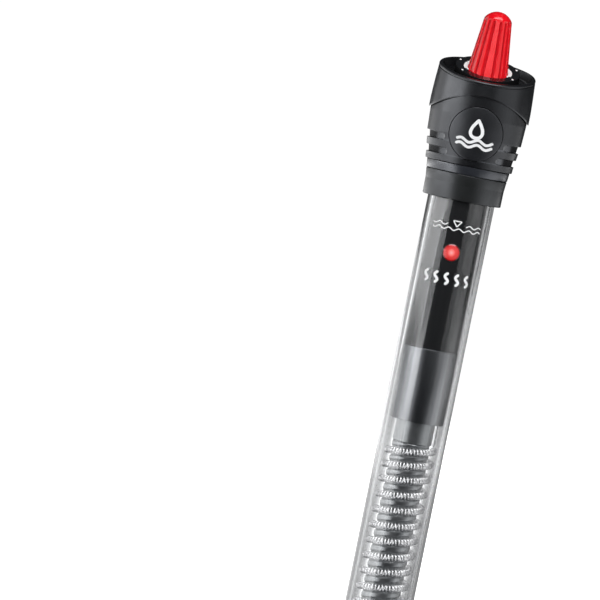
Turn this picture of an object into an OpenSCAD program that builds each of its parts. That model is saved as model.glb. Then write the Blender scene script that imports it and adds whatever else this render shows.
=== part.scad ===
// Submersible aquarium heater: fluted temperature knob, two-shell head with a
// sloped dial, closed glass tube, thermostat and a coiled heating element.
// Millimetres. +Z up, origin on the tube axis at the middle of the bare glass,
// which is the length that holder clips grip. The front of the head faces -Y.

/* [Glass tube] */
// Outer diameter of the glass tube
tube_d = 24; // [23.6:0.1:24.4]
// Wall thickness of the glass
tube_wall = 1.3; // [1.1:0.1:1.5]
// Length of bare straight glass between the head and the round end
grip_len = 220; // [190:5:260]

/* [Knob] */
// Radius of the knob at its foot, over the ribs
knob_foot_r = 7.6; // [7.4:0.1:7.7]
// Radius of the knob at its shoulder, over the ribs
knob_top_r = 5.0; // [4.7:0.1:5.4]
// Number of grooves around the knob
knob_flutes = 16; // [12:1:20]
// Radius of each groove of the knob
knob_flute_r = 0.65; // [0.35:0.05:0.65]
// Width of the broad front rib that serves as the pointer, in degrees
front_rib = 30; // [24:1:34]

/* [Head] */
// Slope of the dish floor in the top of the head, in degrees
dish_slope = 13; // [11:0.5:14]
// Slope of the dial face around the knob, in degrees
dial_slope = 18.5; // [18:0.5:21]
// Height of the top of the arch in the cover's lower edge
arch_top = 37.4; // [36.8:0.1:37.5]
// Radius of the round front badge
badge_r = 9.5; // [8.5:0.1:9.6]
// Angle between the dots of the temperature scale, in degrees
scale_step = 56; // [50:1:57]

/* [Cord inlet] */
// Bore of the cord gland
gland_bore = 6.2; // [5.8:0.1:6.6]

/* [Heating element] */
// Distance between neighbouring turns of the heating coil
coil_pitch = 5.6; // [5.4:0.05:6]
// Outer diameter of the wound wire that forms each turn
coil_band_d = 2.7; // [2.3:0.1:2.7]
// Radius of the middle line of the heating coil
coil_r = 8.05; // [8:0.05:8.1]

/* [Thermostat] */
// Thread pitch of the adjusting screw
screw_pitch = 0.7; // [0.5:0.05:0.8]
// Diameter of the indicator lens
lens_d = 6.3; // [5.5:0.1:6.5]
// Height of the lens centre below the head
lens_drop = 18.6; // [17:0.1:21]

/* [Hidden] */
$fn = 96;

tube_r = tube_d / 2;
bore_r = tube_r - tube_wall;
z_head = grip_len / 2;                 // lower edge of the head above the origin
z_dome = -grip_len;                    // where the round end begins, from the head
rim_rho = 400;                         // radius of the gentle curve of the rim, seen from the side
rim_mid = 46.9;                        // height of the rim at the sides
rim_ang = 12.4;                        // slope of the rim at the sides
dish_mid = 43.2;                       // height of the dish floor on the axis
dial_mid = 47.4;                       // height of the dial face on the axis
knob_z0 = 43.2;
knob_z1 = 65.0;
knob_cap = 5.7;                        // radius of the knob's domed top
knob_k = (knob_foot_r - knob_top_r) / (knob_z1 - knob_z0);
arch_r = 26.6;
neck_r = tube_r - 0.5;                 // the glass inside the head, drawn in to a neck
badge_z = 24.2;
lens_z = -lens_drop;
coil_top = -89.6;
former_end = z_dome + 12;
neck_z = -88.0;
turns = floor((coil_top - 6 - former_end) / coil_pitch);

// outline of the head body, radius against height
BODY = [[15.6, 12.6], [15.72, 14.2], [16.2, 17.75], [16.4, 19.2], [16.94, 22.7], [17.08, 25.6], [17.3, 29.9], [17.35, 37.6]];

module at_head() { translate([0, 0, z_head]) children(); }
module ring(ro, ri, z0, z1) {
    difference() {
        translate([0, 0, z0]) cylinder(r = ro, h = z1 - z0);
        translate([0, 0, z0 - 1]) cylinder(r = ri, h = z1 - z0 + 2);
    }
}
module along_y(r, y0, y1, x = 0, z = 0) { translate([x, y0, z]) rotate([-90, 0, 0]) cylinder(r = r, h = y1 - y0); }
module along_x(r, x0, x1, y = 0, z = 0) { translate([x0, y, z]) rotate([0, 90, 0]) cylinder(r = r, h = x1 - x0); }
module above(zm, slope, t = 60) { translate([0, 0, zm]) rotate([slope, 0, 0]) translate([-60, -60, 0]) cube([120, 120, t]); }
module below(zm, slope, t = 60) { translate([0, 0, zm]) rotate([slope, 0, 0]) translate([-60, -60, -t]) cube([120, 120, t]); }
// solid under the curved rim line, with an allowance
module under_rim(drop = 0) {
    translate([0, rim_rho * sin(rim_ang), rim_mid - rim_rho * cos(rim_ang)])
        rotate([0, 90, 0]) translate([0, 0, -30]) cylinder(r = rim_rho - drop, h = 60, $fn = 360);
}

// ---------------------------------------------------------------- knob group
module knob() {
    color("crimson") difference() {
        union() {
            translate([0, 0, knob_z0]) cylinder(r1 = knob_foot_r, r2 = knob_top_r, h = knob_z1 - knob_z0);
            intersection() {
                translate([0, 0, knob_z1 + sqrt(knob_cap * knob_cap - knob_top_r * knob_top_r) * -1]) sphere(r = knob_cap);
                translate([0, 0, knob_z1]) cylinder(r = knob_top_r, h = 10);
            }
        }
        // rounded grooves between the ribs
        for (i = [0:knob_flutes - 1]) rotate([0, 0, -90 + front_rib / 2 + i * (360 - front_rib) / (knob_flutes - 1)])
            translate([knob_foot_r + 0.13, 0, knob_z0 - 0.01]) rotate([0, -atan(knob_k), 0])
                translate([0, 0, -1]) cylinder(r = knob_flute_r, h = 22.6, $fn = 32);
        // hollow moulding around the central socket
        difference() {
            translate([0, 0, knob_z0 - 1]) cylinder(r1 = knob_foot_r - 1.7 + knob_k, r2 = knob_top_r - 1.4, h = 19);
            translate([0, 0, knob_z0 - 2]) cylinder(r = 3.4, h = 30);
        }
        translate([0, 0, knob_z0 - 1]) cylinder(r = 2.02, h = 15);
    }
}
module spindle() {
    color("goldenrod") difference() {
        union() {
            translate([0, 0, -3]) cylinder(r = 2, h = 60);
            translate([0, 0, -9.6]) cylinder(r = 1.5, h = 6.61);
        }
        ring(3, 1.55, 29.9, 30.9);
    }
}
module spindle_clip() {
    color("silver") difference() {
        ring(4.1, 1.58, 30.0, 30.8);
        translate([-0.9, 0, 29]) cube([1.8, 6, 3]);
    }
}
module spindle_bush() {
    color("goldenrod") difference() {
        union() {
            translate([0, 0, 31.2]) cylinder(r = 3.5, h = 11.3);
            translate([0, 0, 37.75]) cylinder(r = 4.6, h = 1.2);
        }
        translate([0, 0, 30]) cylinder(r = 2.05, h = 14);
    }
}

// ---------------------------------------------------------------- head shells
module head_cover() {
    color("#3a3b3d") difference() {
        intersection() {
            rotate_extrude() polygon([[0, 28], [17.98, 28], [17.98, 34], [17.87, 37.3], [17.68, 41], [17.45, 44.5], [17.35, 46.5], [17.25, 52], [0, 52]]);
            under_rim();
        }
        // arched lower edge, front and back
        translate([0, -30, arch_top - arch_r]) rotate([-90, 0, 0]) cylinder(r = arch_r, h = 60, $fn = 192);
        // socket that slips over the body
        translate([0, 0, 20]) cylinder(r = 17.45, h = 17.9);
        // dish in the top
        intersection() {
            translate([0, 0, 30]) cylinder(r = 16.1, h = 40);
            above(dish_mid, dish_slope);
        }
        // space under the dish floor
        difference() {
            intersection() {
                translate([0, 0, 30]) cylinder(r = 15.9, h = 40);
                below(dish_mid - 1.7, dish_slope);
            }
            translate([0, 0, 39]) cylinder(r = 9.6, h = 20);
        }
        // knob well and bush seat
        translate([0, 0, 42.6]) cylinder(r = 8.1, h = 20);
        translate([0, 0, 30]) cylinder(r = 3.52, h = 20);
    }
}
// wedge at the front where the dial has no scale
module front_wedge(half) {
    rotate([0, 0, -90 - half]) rotate_extrude(angle = 2 * half) translate([4, 30]) square([12, 30]);
}
module dial_ring() {
    color("#4a4c4e") difference() {
        intersection() {
            ring(11.6, 8.3, 36, 56);
            above(dish_mid + 0.02, dish_slope);
            below(dial_mid, dial_slope);
        }
        difference() {
            intersection() {
                translate([0, 0, 40]) cylinder(r = 8.75, h = 20);
                above(dial_mid - 1.1, dial_slope);
            }
            front_wedge(66);
        }
    }
}
module dial_disc() {
    color("white") difference() {
        intersection() {
            translate([0, 0, 40]) cylinder(r = 8.69, h = 20);
            above(dial_mid - 1.08, dial_slope, 0.8);
        }
        front_wedge(67);
        translate([0, 0, knob_z0]) cylinder(r1 = knob_foot_r + 0.22, r2 = knob_top_r + 0.22, h = knob_z1 - knob_z0);
        translate([0, 0, knob_z0 - 20]) cylinder(r = 7.0, h = 22);
    }
}
module scale_dots() {
    color("white") for (k = [-3, -2, -1, 1, 2, 3]) intersection() {
        rotate([0, 0, -90 + k * scale_step]) translate([10.9, 0, 40]) cylinder(r = 0.37, h = 15, $fn = 32);
        above(dial_mid + 0.005, dial_slope, 0.14);
    }
}
module body_shape(inset = 0) {
    rotate_extrude() polygon(concat([[0, BODY[0][1]]], [for (p = BODY) [p[0] - inset, p[1]]], [[0, BODY[7][1]]]));
}
module groove(z0, h, r_in, half) {
    difference() {
        union() {
            for (s = [0, 180]) rotate([0, 0, s]) {
                rotate([0, 0, -half]) rotate_extrude(angle = 2 * half) translate([r_in, z0]) square([4, h]);
            }
        }
        translate([0, 0, z0 - 2]) cylinder(r = r_in, h = h + 4);
    }
}
module head_body() {
    color("#3a3b3d") difference() {
        union() {
            body_shape();
            ring(12.95, neck_r + 0.06, 9.4, 12.7);
            // flat pad behind, that the cord gland seats on
            along_y(6.4, 8, 18.4, 0, 24);
        }
        // cavity
        translate([0, 0, 26.5]) cylinder(r = 15.3, h = 20);
        translate([0, 0, 17.6]) cylinder(r = 13.6, h = 10);
        // mouth for the plug flange and the neck of the glass
        translate([0, 0, 5]) cylinder(r = neck_r + 0.06, h = 10.6);
        translate([0, 0, 10]) cylinder(r = 9.0, h = 10);
        groove(19.9, 2.6, 15.95, 51);
        groove(14.95, 2.5, 15.3, 57);
        // pocket of the front badge
        difference() {
            along_y(badge_r + 0.2, -20, -5, 0, badge_z);
            body_shape(0.85);
        }
        // gland seat and the flat that its nut tightens against
        along_y(4.1, 5, 20, 0, 24);
        along_y(5.9, 5, 13.35, 0, 24);
    }
}
module badge_disc() {
    color("#3c3d40") difference() {
        intersection() {
            along_y(badge_r, -20, -5, 0, badge_z);
            body_shape();
        }
        body_shape(0.82);
    }
}
module cord_gland() {
    color("#26272a") difference() {
        union() {
            along_y(5.4, 18.43, 20.4, 0, 24);
            along_y(4.05, 11.2, 18.5, 0, 24);
        }
        along_y(gland_bore / 2, 10, 22, 0, 24);
    }
}
module gland_nut() {
    color("#4a4a4c") difference() {
        translate([0, 11.4, 24]) rotate([-90, 0, 0]) cylinder(r = 5.6, h = 1.9, $fn = 6);
        along_y(4.1, 10, 15, 0, 24);
    }
}
module clamp_band() {
    color("#5a5d62") rotate_extrude() polygon([[13.0, 9.42], [14.55, 9.42], [14.88, 12.52], [13.0, 12.52]]);
}
module seal_collar() {
    color("#3e4142") difference() {
        rotate_extrude() polygon([[0, 0.02], [14.1, 0.02], [14.15, 5.7], [14.5, 9.3], [0, 9.3]]);
        translate([0, 0, -1]) cylinder(r = neck_r + 0.06, h = 12);
        translate([0, 0, 6.1]) cylinder(r = 13.4, h = 1.5);
    }
}
module collar_o_ring() {
    color("#1d1d1f") rotate_extrude() translate([neck_r + 0.72, 6.85]) circle(r = 0.7);
}
module seal_plug() {
    color("#2b2b2d") difference() {
        union() {
            translate([0, 0, 2]) cylinder(r = bore_r - 0.08, h = 11.1);
            translate([0, 0, 13.05]) cylinder(r = 11.4, h = 2.4);
        }
        translate([0, 0, 0]) cylinder(r = 2.15, h = 20);
        translate([0, 0, 9.6]) cylinder(r = 3.95, h = 10);
        for (s = [-1, 1]) translate([s * 6.6, 0, 0]) cylinder(r = 0.9, h = 20);
    }
}
module spindle_o_rings() {
    color("#1d1d1f") for (z = [10.6, 12.7]) rotate_extrude() translate([2.98, z]) circle(r = 0.9);
}
module core_leads() {
    for (s = [-1, 1]) color(s < 0 ? "saddlebrown" : "royalblue")
        translate([s * 6.6, 0, -43.8]) cylinder(r = 0.8, h = 72.8);
}
module crimp_terminals() {
    color("silver") for (s = [-1, 1]) translate([s * 6.6, 0, 29.02]) difference() {
        cylinder(r = 1.1, h = 6);
        translate([0, 0, 3]) cylinder(r = 0.75, h = 4);
    }
}

// ---------------------------------------------------------------- glass
module glass_tube() {
    color("lightcyan", 0.35) rotate_extrude() difference() {
        union() {
            translate([0, z_dome]) square([tube_r, grip_len]);
            square([neck_r, 13]);
            intersection() {
                translate([0, z_dome]) circle(r = tube_r);
                translate([0, z_dome - 20]) square([20, 20]);
            }
        }
        translate([0, z_dome]) square([bore_r, grip_len + 14]);
        intersection() {
            translate([0, z_dome]) circle(r = bore_r);
            translate([0, z_dome - 20]) square([20, 20.01]);
        }
    }
}

// ---------------------------------------------------------------- thermostat
module thermostat_sleeve() {
    color("#232426") difference() {
        union() {
            translate([0, 0, -53.7]) cylinder(r = 9.45, h = 55.3);
            translate([0, 0, -57.2]) cylinder(r = 8.85, h = 4);
        }
        translate([0, 0, -52.2]) cylinder(r = 8.6, h = 60);
        translate([0, 0, -60]) cylinder(r = 8.2, h = 60);
        along_y(lens_d / 2 + 0.05, -12, -5, 0, lens_z);
    }
}
module lamp_lens() {
    color("red") intersection() {
        along_y(lens_d / 2, -11, -7.6, 0, lens_z);
        translate([0, -5.0, lens_z]) sphere(r = 5.5);
    }
}
module neon_lamp() {
    color("mistyrose") union() {
        translate([0, -5.6, lens_z - 5.5]) cylinder(r = 1.55, h = 9);
        translate([0, -5.6, lens_z + 3.5]) sphere(r = 1.55);
        for (s = [-1, 1]) translate([s * 0.7, -5.6, lens_z - 14]) cylinder(r = 0.25, h = 9);
    }
}
module lamp_resistor() {
    color("tan") union() {
        translate([5.2, -4.6, -33]) cylinder(r = 1.1, h = 7);
        translate([5.2, -4.6, -42.2]) cylinder(r = 0.3, h = 9.4);
        translate([5.2, -4.6, -26.2]) cylinder(r = 0.3, h = 3);
    }
}
module base_plate() {
    color("wheat") difference() {
        translate([-7.2, 2.3, -52.2]) cube([14.4, 1.4, 51]);
        along_y(0.64, 0, 6, -1.05, -40);
        along_y(0.64, 0, 6, 1.5, -46);
        for (s = [-1, 1]) along_y(0.84, 0, 6, s * 5, -46.2);
    }
}
module adjuster_nut() {
    color("goldenrod") difference() {
        union() {
            translate([-2.3, -2, -8]) cube([4.6, 4, 4]);
            // sloped nose that pushes the set blade aside
            translate([0, 1.6, 0]) rotate([90, 0, 0]) linear_extrude(height = 3.2)
                polygon([[-4.4, -4], [-4.4, -12], [-3.4, -12], [-0.6, -9.2], [-0.6, -7.8], [-2.2, -6], [-2.2, -4]]);
        }
        translate([0, 0, -10.7]) cylinder(r = 1.56, h = 8);
    }
}
module set_blade() {
    color("darkkhaki") difference() {
        union() {
            translate([-1.2, -1.5, -39.4]) cube([0.3, 3, 29.2]);
            along_y(1.2, -1.5, 1.5, -1.05, -40);
            // rubbing pad at the free end
            translate([-1.87, -1.2, -11.3]) cube([0.7, 2.4, 0.6]);
        }
        along_y(0.65, -3, 3, -1.05, -40);
    }
}
module set_contact() { color("silver") along_x(1.1, -0.88, -0.3, 0, -20); }
module bimetal_strip() {
    color("peru") difference() {
        union() {
            translate([1.3, -1.8, -45.4]) cube([0.4, 3.6, 31]);
            along_y(1.2, -1.8, 1.8, 1.5, -46);
        }
        along_y(0.65, -3, 3, 1.5, -46);
    }
}
module moving_contact() { color("silver") along_x(1.1, 0.42, 1.28, 0, -20); }
module pivot_pins() {
    color("silver") {
        along_y(0.6, -2.2, 3.7, -1.05, -40);
        along_y(0.6, -2.4, 3.7, 1.5, -46);
    }
}
module snap_magnet() { color("dimgray") translate([-0.88, -1.2, -17]) cube([0.9, 2.4, 3]); }
module terminal_block() {
    color("ivory") difference() {
        union() {
            translate([-6.2, -2, -52]) cube([12.4, 4.25, 4]);
            for (s = [-1, 1]) translate([s * 5 - 1.2, -2, -48.5]) cube([2.4, 4.25, 4.4]);
        }
        for (s = [-1, 1]) along_y(0.84, -3, 4, s * 5, -46.2);
        translate([0, 0, -55]) cylinder(r = 1, h = 10);
        translate([5.2, 0, -53]) cylinder(r = 0.5, h = 3);
    }
}
module block_screws() {
    color("silver") for (s = [-1, 1]) {
        along_y(0.8, -2.6, 3.6, s * 5, -46.2);
        along_y(1.5, -3.0, -2.03, s * 5, -46.2);
    }
}

// ---------------------------------------------------------------- heating element
module heat_shield() { color("#9b9da1") ring(9.7, 8.92, -80.1, -53.75); }
module lower_spacer() {
    color("ivory") difference() {
        translate([0, 0, -61]) cylinder(r = 8.8, h = 3.6);
        translate([0, 0, -70]) cylinder(r = 0.9, h = 20);
        translate([5.2, 0, -70]) cylinder(r = 0.6, h = 20);
    }
}
module former_neck() {
    color("#a9abae") difference() {
        translate([0, 0, neck_z]) cylinder(r = 7.0, h = -63.6 - neck_z);
        translate([0, 0, neck_z - 1]) cylinder(r = 1.2, h = 40);
    }
}
module ceramic_former() {
    color("#8c8e92") difference() {
        translate([0, 0, former_end + 1.6]) cylinder(r = 6.55, h = neck_z - former_end - 1.65);
        translate([0, 0, former_end - 1]) cylinder(r = 1.2, h = 200);
    }
}
// height of the coil's middle line after n turns: the first turns are closer
function coil_z(n) = coil_top - coil_pitch * (n < 3 ? n - (0.13 * n - 0.0217 * n * n) : n - 0.195);
module heating_coil() {
    per = 16; sides = 6; n = turns * per;
    pts = [for (i = [0:n]) let (t = i / per, a = -360 * t, z = coil_z(t), slope = atan(coil_pitch / (2 * 3.14159 * coil_r)))
           for (j = [0:sides - 1]) let (b = 360 * j / sides, dr = coil_band_d / 2 * cos(b), dz = coil_band_d / 2 * sin(b))
               [(coil_r + dr) * cos(a) - dz * sin(slope) * sin(a), (coil_r + dr) * sin(a) + dz * sin(slope) * cos(a), z + dz * cos(slope)]];
    faces = concat([[for (j = [0:sides - 1]) j]],
                   [for (i = [0:n - 1], j = [0:sides - 1]) [i * sides + j, (i + 1) * sides + j, (i + 1) * sides + (j + 1) % sides]],
                   [for (i = [0:n - 1], j = [0:sides - 1]) [i * sides + j, (i + 1) * sides + (j + 1) % sides, i * sides + (j + 1) % sides]],
                   [[for (j = [sides - 1:-1:0]) n * sides + j]]);
    color("silver") polyhedron(points = pts, faces = faces, convexity = 10);
}
module feed_lead() {
    color("silver") union() {
        translate([coil_r, 0, -88.1]) cylinder(r = 0.4, h = 25.8);
        along_x(0.4, 5.2, coil_r, 0, -62.3);
        for (x = [5.2, coil_r]) translate([x, 0, -62.3]) sphere(r = 0.4);
        translate([5.2, 0, -62.3]) cylinder(r = 0.4, h = 11.5);
    }
}
module return_lead() {
    z = former_end + 0.8;
    color("silver") union() {
        translate([0, 0, z]) cylinder(r = 0.4, h = -z - 50.3);
        along_x(0.4, 0, coil_r, 0, z);
        for (x = [0, coil_r]) translate([x, 0, z]) sphere(r = 0.4);
        translate([coil_r, 0, z]) cylinder(r = 0.4, h = coil_z(turns) - 1.45 - z);
    }
}
module end_disc() {
    color("ivory") difference() {
        translate([0, 0, former_end - 3]) cylinder(r = bore_r - 0.25, h = 3);
        translate([0, 0, former_end - 4]) cylinder(r = 1.2, h = 5);
    }
}
module end_cushion() {
    r = bore_r - 0.3;
    color("whitesmoke") difference() {
        union() {
            translate([0, 0, z_dome]) cylinder(r = r, h = former_end - 3.05 - z_dome);
            intersection() {
                translate([0, 0, z_dome]) sphere(r = r);
                translate([0, 0, z_dome - 20]) cylinder(r = r, h = 20.01);
            }
        }
        translate([0, 0, z_dome - 20]) cylinder(r = 2.5, h = 40);
    }
}

at_head() knob();
at_head() spindle();
at_head() spindle_clip();
at_head() spindle_bush();
at_head() head_cover();
at_head() dial_ring();
at_head() dial_disc();
at_head() scale_dots();
at_head() head_body();
at_head() badge_disc();
at_head() cord_gland();
at_head() gland_nut();
at_head() clamp_band();
at_head() seal_collar();
at_head() collar_o_ring();
at_head() seal_plug();
at_head() spindle_o_rings();
at_head() core_leads();
at_head() crimp_terminals();
at_head() glass_tube();
at_head() thermostat_sleeve();
at_head() lamp_lens();
at_head() neon_lamp();
at_head() lamp_resistor();
at_head() base_plate();
at_head() adjuster_nut();
at_head() set_blade();
at_head() set_contact();
at_head() bimetal_strip();
at_head() moving_contact();
at_head() pivot_pins();
at_head() snap_magnet();
at_head() terminal_block();
at_head() block_screws();
at_head() heat_shield();
at_head() lower_spacer();
at_head() former_neck();
at_head() ceramic_former();
at_head() heating_coil();
at_head() feed_lead();
at_head() return_lead();
at_head() end_disc();
at_head() end_cushion();
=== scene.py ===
import math

import bmesh
import bpy
import numpy as np
from mathutils import Matrix, Vector


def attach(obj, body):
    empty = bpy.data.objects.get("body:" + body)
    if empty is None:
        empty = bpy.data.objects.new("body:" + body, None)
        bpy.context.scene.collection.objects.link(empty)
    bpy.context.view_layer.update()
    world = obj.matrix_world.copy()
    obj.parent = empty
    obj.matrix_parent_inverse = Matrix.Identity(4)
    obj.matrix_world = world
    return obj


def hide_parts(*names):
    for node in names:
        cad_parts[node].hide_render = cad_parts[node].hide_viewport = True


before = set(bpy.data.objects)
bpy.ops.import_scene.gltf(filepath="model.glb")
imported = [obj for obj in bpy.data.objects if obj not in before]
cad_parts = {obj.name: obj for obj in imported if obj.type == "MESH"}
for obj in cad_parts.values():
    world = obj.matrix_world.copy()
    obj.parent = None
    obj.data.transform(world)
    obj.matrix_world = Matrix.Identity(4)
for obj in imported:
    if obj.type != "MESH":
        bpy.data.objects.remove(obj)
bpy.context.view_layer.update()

# Everything below is written in millimetres, with heights measured from the lower
# edge of the head; make() turns them into metres in the part's frame.
ZH = 110.0
SCENE = bpy.context.scene
TAU = 2 * math.pi


# ------------------------------------------------------------------ camera
K = 0.3556  # millimetres per pixel at the tube
DIST = 5000 * K
e0, roll = math.radians(3.5), math.radians(11.45)
look = np.array([0, math.cos(e0), -math.sin(e0)])
side0 = np.array([1.0, 0, 0])
up0 = np.array([0, math.sin(e0), math.cos(e0)])
cam_r = side0 * math.cos(roll) + up0 * math.sin(roll)
cam_u = up0 * math.cos(roll) - side0 * math.sin(roll)
aim = np.array([0, 0, -72.6 + ZH]) - cam_r * (120.5 * K) + cam_u * (100 * K)
cam_at = (aim - look * DIST) * 0.001
cam = bpy.data.cameras.new("Camera")
cam.lens, cam.sensor_width = 300, 36
cam.clip_start, cam.clip_end = 0.1, 60
cam_ob = bpy.data.objects.new("Camera", cam)
SCENE.collection.objects.link(cam_ob)
m = Matrix.Identity(4)
for i in range(3):
    m[i][0], m[i][1], m[i][2], m[i][3] = cam_r[i], cam_u[i], -look[i], cam_at[i]
cam_ob.matrix_world = m
SCENE.camera = cam_ob


# ------------------------------------------------------------------ mesh helpers
def make(name, verts, faces, mat, sharp=32, recalc=True):
    me = bpy.data.meshes.new(name)
    v = np.array(verts, float)
    v[:, 2] += ZH
    me.from_pydata((v * 0.001).tolist(), [], faces)
    bm = bmesh.new()
    bm.from_mesh(me)
    bmesh.ops.remove_doubles(bm, verts=bm.verts, dist=2e-7)
    if recalc:
        bmesh.ops.recalc_face_normals(bm, faces=bm.faces)
    bm.to_mesh(me)
    bm.free()
    me.validate()
    me.polygons.foreach_set("use_smooth", [True] * len(me.polygons))
    me.set_sharp_from_angle(angle=math.radians(sharp))
    ob = bpy.data.objects.new(name, me)
    SCENE.collection.objects.link(ob)
    me.materials.append(mat)
    return ob


def grid_faces(nu, nv, wrap_u, wrap_v, base=0):
    faces = []
    for i in range(nu if wrap_u else nu - 1):
        a, b = base + i * nv, base + ((i + 1) % nu) * nv
        for j in range(nv if wrap_v else nv - 1):
            k = (j + 1) % nv
            faces.append((a + j, a + k, b + k, b + j))
    return faces


def fan(ring, centre):
    n = len(ring)
    return [(ring[j], ring[(j + 1) % n], centre) for j in range(n)]


def surface(name, P, mat, wrap_u=True, wrap_v=True, pole_a=None, pole_b=None, sharp=32):
    """A piece from a grid of points P[u][v]; an open end in u can close on a pole."""
    P = np.asarray(P, float)
    nu, nv = P.shape[:2]
    verts = P.reshape(-1, 3).tolist()
    faces = grid_faces(nu, nv, wrap_u, wrap_v)
    if pole_a is not None:
        verts.append(pole_a)
        faces += fan(list(range(nv)), len(verts) - 1)
    if pole_b is not None:
        verts.append(pole_b)
        faces += fan(list(range((nu - 1) * nv, nu * nv)), len(verts) - 1)
    return make(name, verts, faces, mat, sharp)


def rounded(pts, n=4, closed=True):
    """An outline of (r, z) or (r, z, fillet radius) with its corners rounded."""
    out, m = [], len(pts)
    for i, p in enumerate(pts):
        c = np.array(p[:2], float)
        f = p[2] if len(p) > 2 else 0
        if not f or (not closed and i in (0, m - 1)):
            out.append((c[0], c[1]))
            continue
        a = np.array(pts[i - 1][:2], float) - c
        b = np.array(pts[(i + 1) % m][:2], float) - c
        la, lb = np.linalg.norm(a), np.linalg.norm(b)
        a, b = a / la, b / lb
        ang = math.acos(max(-1, min(1, float(a @ b))))
        if ang > math.pi - 0.02:
            out.append((c[0], c[1]))
            continue
        t = min(f / math.tan(ang / 2), 0.46 * la, 0.46 * lb)
        ff = t * math.tan(ang / 2)
        mid = c + (a + b) / np.linalg.norm(a + b) * ff / math.sin(ang / 2)
        s, e = c + a * t - mid, c + b * t - mid
        w = math.pi - ang
        for k in range(n + 1):
            q = (math.sin(w * (1 - k / n)) * s + math.sin(w * k / n) * e) / math.sin(w)
            out.append((mid[0] + q[0], mid[1] + q[1]))
    return out


def lathe(name, pts, mat, seg=160, n=4, closed=True, sharp=32, along=None):
    """A turned piece about Z, or about an axis along Y through (0, z) = along."""
    prof = rounded(pts, n, closed)
    th = np.arange(seg) * TAU / seg
    pole_a = pole_b = None
    if not closed:
        if abs(prof[0][0]) < 1e-9:
            pole_a, prof = (0, 0, prof[0][1]), prof[1:]
        if abs(prof[-1][0]) < 1e-9:
            pole_b, prof = (0, 0, prof[-1][1]), prof[:-1]
    P = np.array([[(r * math.cos(t), r * math.sin(t), z) for t in th] for r, z in prof])

    def turn(q):
        q = np.asarray(q, float)
        return np.stack([q[..., 0], q[..., 2], q[..., 1] + along], -1)

    if along is not None:
        P = turn(P)
        pole_a = None if pole_a is None else turn(pole_a).tolist()
        pole_b = None if pole_b is None else turn(pole_b).tolist()
    return surface(name, P, mat, wrap_u=closed, pole_a=pole_a, pole_b=pole_b, sharp=sharp)


def tube_along(name, pts, radius, mat, sides=6, sharp=60):
    """A round wire along a line of points."""
    p = np.asarray(pts, float)
    t = np.gradient(p, axis=0)
    t /= np.linalg.norm(t, axis=1)[:, None]
    n = np.zeros_like(p)
    ref = np.array([0, 0, 1.0]) if abs(t[0][2]) < 0.9 else np.array([1.0, 0, 0])
    v = ref - t[0] * (ref @ t[0])
    for i in range(len(p)):
        v = v - t[i] * (v @ t[i])
        v /= np.linalg.norm(v)
        n[i] = v
    b = np.cross(t, n)
    ang = np.arange(sides) * TAU / sides
    P = p[:, None, :] + radius * (np.cos(ang)[None, :, None] * n[:, None, :] + np.sin(ang)[None, :, None] * b[:, None, :])
    return surface(name, P, mat, wrap_u=False, pole_a=p[0].tolist(), pole_b=p[-1].tolist(), sharp=sharp)


def smooth(x):
    x = np.clip(x, 0, 1)
    return x * x * (3 - 2 * x)


# ------------------------------------------------------------------ materials
def new_mat(name):
    mt = bpy.data.materials.new(name)
    mt.use_nodes = True
    nt = mt.node_tree
    nt.nodes.clear()
    out = nt.nodes.new("ShaderNodeOutputMaterial")
    b = nt.nodes.new("ShaderNodeBsdfPrincipled")
    nt.links.new(b.outputs[0], out.inputs[0])
    tc = nt.nodes.new("ShaderNodeTexCoord")
    return mt, nt, b, tc


def noise(nt, tc, scale, detail=3.0, rough=0.5, stretch=(1, 1, 1)):
    mp = nt.nodes.new("ShaderNodeMapping")
    mp.inputs["Scale"].default_value = stretch
    nt.links.new(tc.outputs["Object"], mp.inputs["Vector"])
    n = nt.nodes.new("ShaderNodeTexNoise")
    n.inputs["Scale"].default_value = scale
    n.inputs["Detail"].default_value = detail
    n.inputs["Roughness"].default_value = rough
    nt.links.new(mp.outputs[0], n.inputs["Vector"])
    return n.outputs["Fac"]


def ramp(nt, fac, stops):
    r = nt.nodes.new("ShaderNodeValToRGB")
    el = r.color_ramp.elements
    while len(el) < len(stops):
        el.new(0.5)
    for e, (p, c) in zip(el, stops):
        e.position = p
        e.color = (*c, 1)
    nt.links.new(fac, r.inputs[0])
    return r.outputs["Color"]


def remap(nt, fac, lo, hi, a=0.0, b=1.0):
    r = nt.nodes.new("ShaderNodeMapRange")
    r.inputs["From Min"].default_value, r.inputs["From Max"].default_value = a, b
    r.inputs["To Min"].default_value, r.inputs["To Max"].default_value = lo, hi
    nt.links.new(fac, r.inputs["Value"])
    return r.outputs["Result"]


def math_node(nt, op, a, b=None):
    n = nt.nodes.new("ShaderNodeMath")
    n.operation = op
    for s, v in zip(n.inputs, (a, b)):
        if v is None:
            continue
        if isinstance(v, (int, float)):
            s.default_value = v
        else:
            nt.links.new(v, s)
    return n.outputs[0]


def bump(nt, b, height, strength, dist):
    n = nt.nodes.new("ShaderNodeBump")
    n.inputs["Strength"].default_value = strength
    n.inputs["Distance"].default_value = dist
    nt.links.new(height, n.inputs["Height"])
    nt.links.new(n.outputs[0], b.inputs["Normal"])
    return n


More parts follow.
